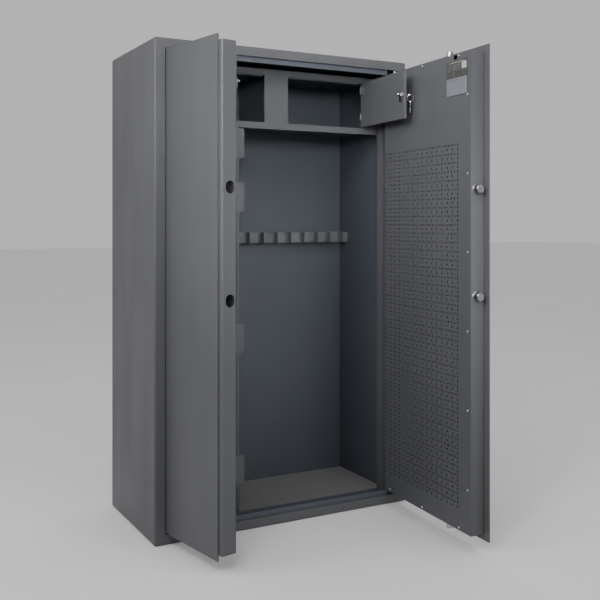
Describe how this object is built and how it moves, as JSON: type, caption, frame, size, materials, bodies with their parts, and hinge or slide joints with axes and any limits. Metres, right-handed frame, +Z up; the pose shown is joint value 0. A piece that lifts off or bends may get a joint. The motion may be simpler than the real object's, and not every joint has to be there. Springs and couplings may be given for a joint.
{
  "type": "gun safe",
  "caption": "Tall two-door steel gun safe with a wide and a narrow swinging door, key lockers above, shelves on one side and a notched barrel rack on the other.",
  "frame": {"origin": "the middle of the cabinet's underside, on the floor", "axes": "+Z up, +Y from the doors to the back, +X to the right of someone facing the doors"},
  "size_m": [0.9, 0.943, 1.5],
  "materials": {
    "outer_paint": "fine textured anthracite powder coat",
    "inner_paint": "matt dark grey paint",
    "mat": "short grey-brown carpet",
    "rack_foam": "dense dark foam",
    "bright_steel": "bright plating",
    "bare_steel": "bare brushed steel",
    "handle_paint": "satin black",
    "label_film": null
  },
  "bodies": {
    "cabinet": {"side_panel_left": "outer_paint", "side_panel_right": "outer_paint", "roof_panel": "outer_paint", "base_panel": "outer_paint", "back_panel": "outer_paint", "liner_left": "inner_paint", "liner_right": "inner_paint", "liner_back": "inner_paint", "liner_ceiling": "inner_paint", "floor_plate": "inner_paint", "stop_rail_top": "outer_paint", "stop_rail_bottom": "outer_paint", "jamb_left": "outer_paint", "jamb_right": "outer_paint", "divider_wall": "inner_paint", "divider_clip_1": "outer_paint", "divider_clip_2": "outer_paint", "divider_clip_3": "outer_paint", "divider_clip_4": "outer_paint", "shelf_1": "inner_paint", "shelf_2": "inner_paint", "shelf_3": "inner_paint", "floor_mat": "mat", "barrel_rack": "rack_foam", "locker_front": "outer_paint", "locker_floor": "inner_paint", "locker_top": "inner_paint", "locker_partition": "inner_paint"},
    "left_door": {"left_door_plate": "outer_paint", "left_door_case": "outer_paint", "left_door_cover": "outer_paint", "left_pivot_top": "bare_steel", "left_pivot_bottom": "bare_steel"},
    "left_lever": {"left_leaf_lever": "handle_paint"},
    "left_top_bolt": {"left_rod_top": "bare_steel"},
    "left_bottom_bolt": {"left_rod_bottom": "bare_steel"},
    "right_door": {"right_door_plate": "outer_paint", "right_door_case": "outer_paint", "right_door_cover": "outer_paint", "right_pivot_top": "bare_steel", "right_pivot_bottom": "bare_steel", "rating_plate": "label_film", "lock_case": "bare_steel"},
    "handle": {"door_handle": "handle_paint", "handle_spindle": "bare_steel"},
    "bolt_carriage": {"bolt_bar": "bare_steel", "side_bolt_lower": "bright_steel", "side_bolt_upper": "bright_steel"},
    "top_bolt": {"rod_top": "bright_steel"},
    "bottom_bolt": {"rod_bottom": "bright_steel"},
    "key_cover": {"keyhole_cover": "bare_steel"},
    "left_locker_door": {"locker_door_left": "outer_paint", "locker_lock_left": "bright_steel"},
    "left_cam": {"locker_cam_left": "bright_steel"},
    "right_locker_door": {"locker_door_right": "outer_paint", "locker_lock_right": "bright_steel"},
    "right_cam": {"locker_cam_right": "bright_steel", "locker_key": "bright_steel"}
  },
  "joints": [
    {"name": "left_door_swing", "type": "hinge", "parent": "cabinet", "child": "left_door", "pos_m": [-0.408, -0.2055, 0.75], "axis": [0, 0, 1], "range_deg": [-9, 80.4]},
    {"name": "right_door_swing", "type": "hinge", "parent": "cabinet", "child": "right_door", "pos_m": [0.408, -0.2055, 0.75], "axis": [0, 0, 1], "range_deg": [-85.6, 4]},
    {"name": "left_locker_door_swing", "type": "hinge", "parent": "cabinet", "child": "left_locker_door", "pos_m": [-0.3365, -0.123, 1.357], "axis": [0, 0, 1], "range_deg": [-9, 80.4]},
    {"name": "right_locker_door_swing", "type": "hinge", "parent": "cabinet", "child": "right_locker_door", "pos_m": [0.3365, -0.123, 1.357], "axis": [0, 0, 1], "range_deg": [-85.6, 4]},
    {"name": "handle_turn", "type": "hinge", "parent": "right_door", "child": "handle", "pos_m": [0.37731, -0.60432, 0.8945], "axis": [0.9971, -0.0767, 0], "range_deg": [0, 75]},
    {"name": "side_bolts_slide", "type": "slide", "parent": "right_door", "child": "bolt_carriage", "axis": [0.0767, 0.9971, 0], "range_m": [0, 0.022]},
    {"name": "top_bolt_slide", "type": "slide", "parent": "right_door", "child": "top_bolt", "axis": [0, 0, -1], "range_m": [0, 0.018]},
    {"name": "bottom_bolt_slide", "type": "slide", "parent": "right_door", "child": "bottom_bolt", "axis": [0, 0, 1], "range_m": [0, 0.018]},
    {"name": "key_cover_swing", "type": "hinge", "parent": "right_door", "child": "key_cover", "pos_m": [0.39262, -0.52526, 0.9165], "axis": [0.9971, -0.0767, 0], "range_deg": [-100, 100]},
    {"name": "left_lever_turn", "type": "hinge", "parent": "left_door", "child": "left_lever", "pos_m": [-0.32487, -0.45716, 0.9], "axis": [0.986, 0.1668, 0], "range_deg": [0, 90]},
    {"name": "left_top_bolt_slide", "type": "slide", "parent": "left_door", "child": "left_top_bolt", "axis": [0, 0, 1], "range_m": [0, 0.018]},
    {"name": "left_bottom_bolt_slide", "type": "slide", "parent": "left_door", "child": "left_bottom_bolt", "axis": [0, 0, -1], "range_m": [0, 0.018]},
    {"name": "left_cam_turn", "type": "hinge", "parent": "left_locker_door", "child": "left_cam", "pos_m": [-0.28997, -0.39809, 1.357], "axis": [-0.986, -0.1668, 0], "range_deg": [0, 90]},
    {"name": "right_cam_turn", "type": "hinge", "parent": "right_locker_door", "child": "right_cam", "pos_m": [0.3151, -0.40118, 1.357], "axis": [-0.9971, 0.0767, 0], "range_deg": [0, 90]}
  ],
  "couplings": [
    {"joint": "left_locker_door_swing", "follows": "left_door_swing", "ratio": 1},
    {"joint": "right_locker_door_swing", "follows": "right_door_swing", "ratio": 1},
    {"joint": "side_bolts_slide", "follows": "handle_turn", "m_per_rad": 0.0168},
    {"joint": "top_bolt_slide", "follows": "handle_turn", "m_per_rad": 0.01375},
    {"joint": "bottom_bolt_slide", "follows": "handle_turn", "m_per_rad": 0.01375},
    {"joint": "left_top_bolt_slide", "follows": "left_lever_turn", "m_per_rad": 0.01145},
    {"joint": "left_bottom_bolt_slide", "follows": "left_lever_turn", "m_per_rad": 0.01145}
  ]
}
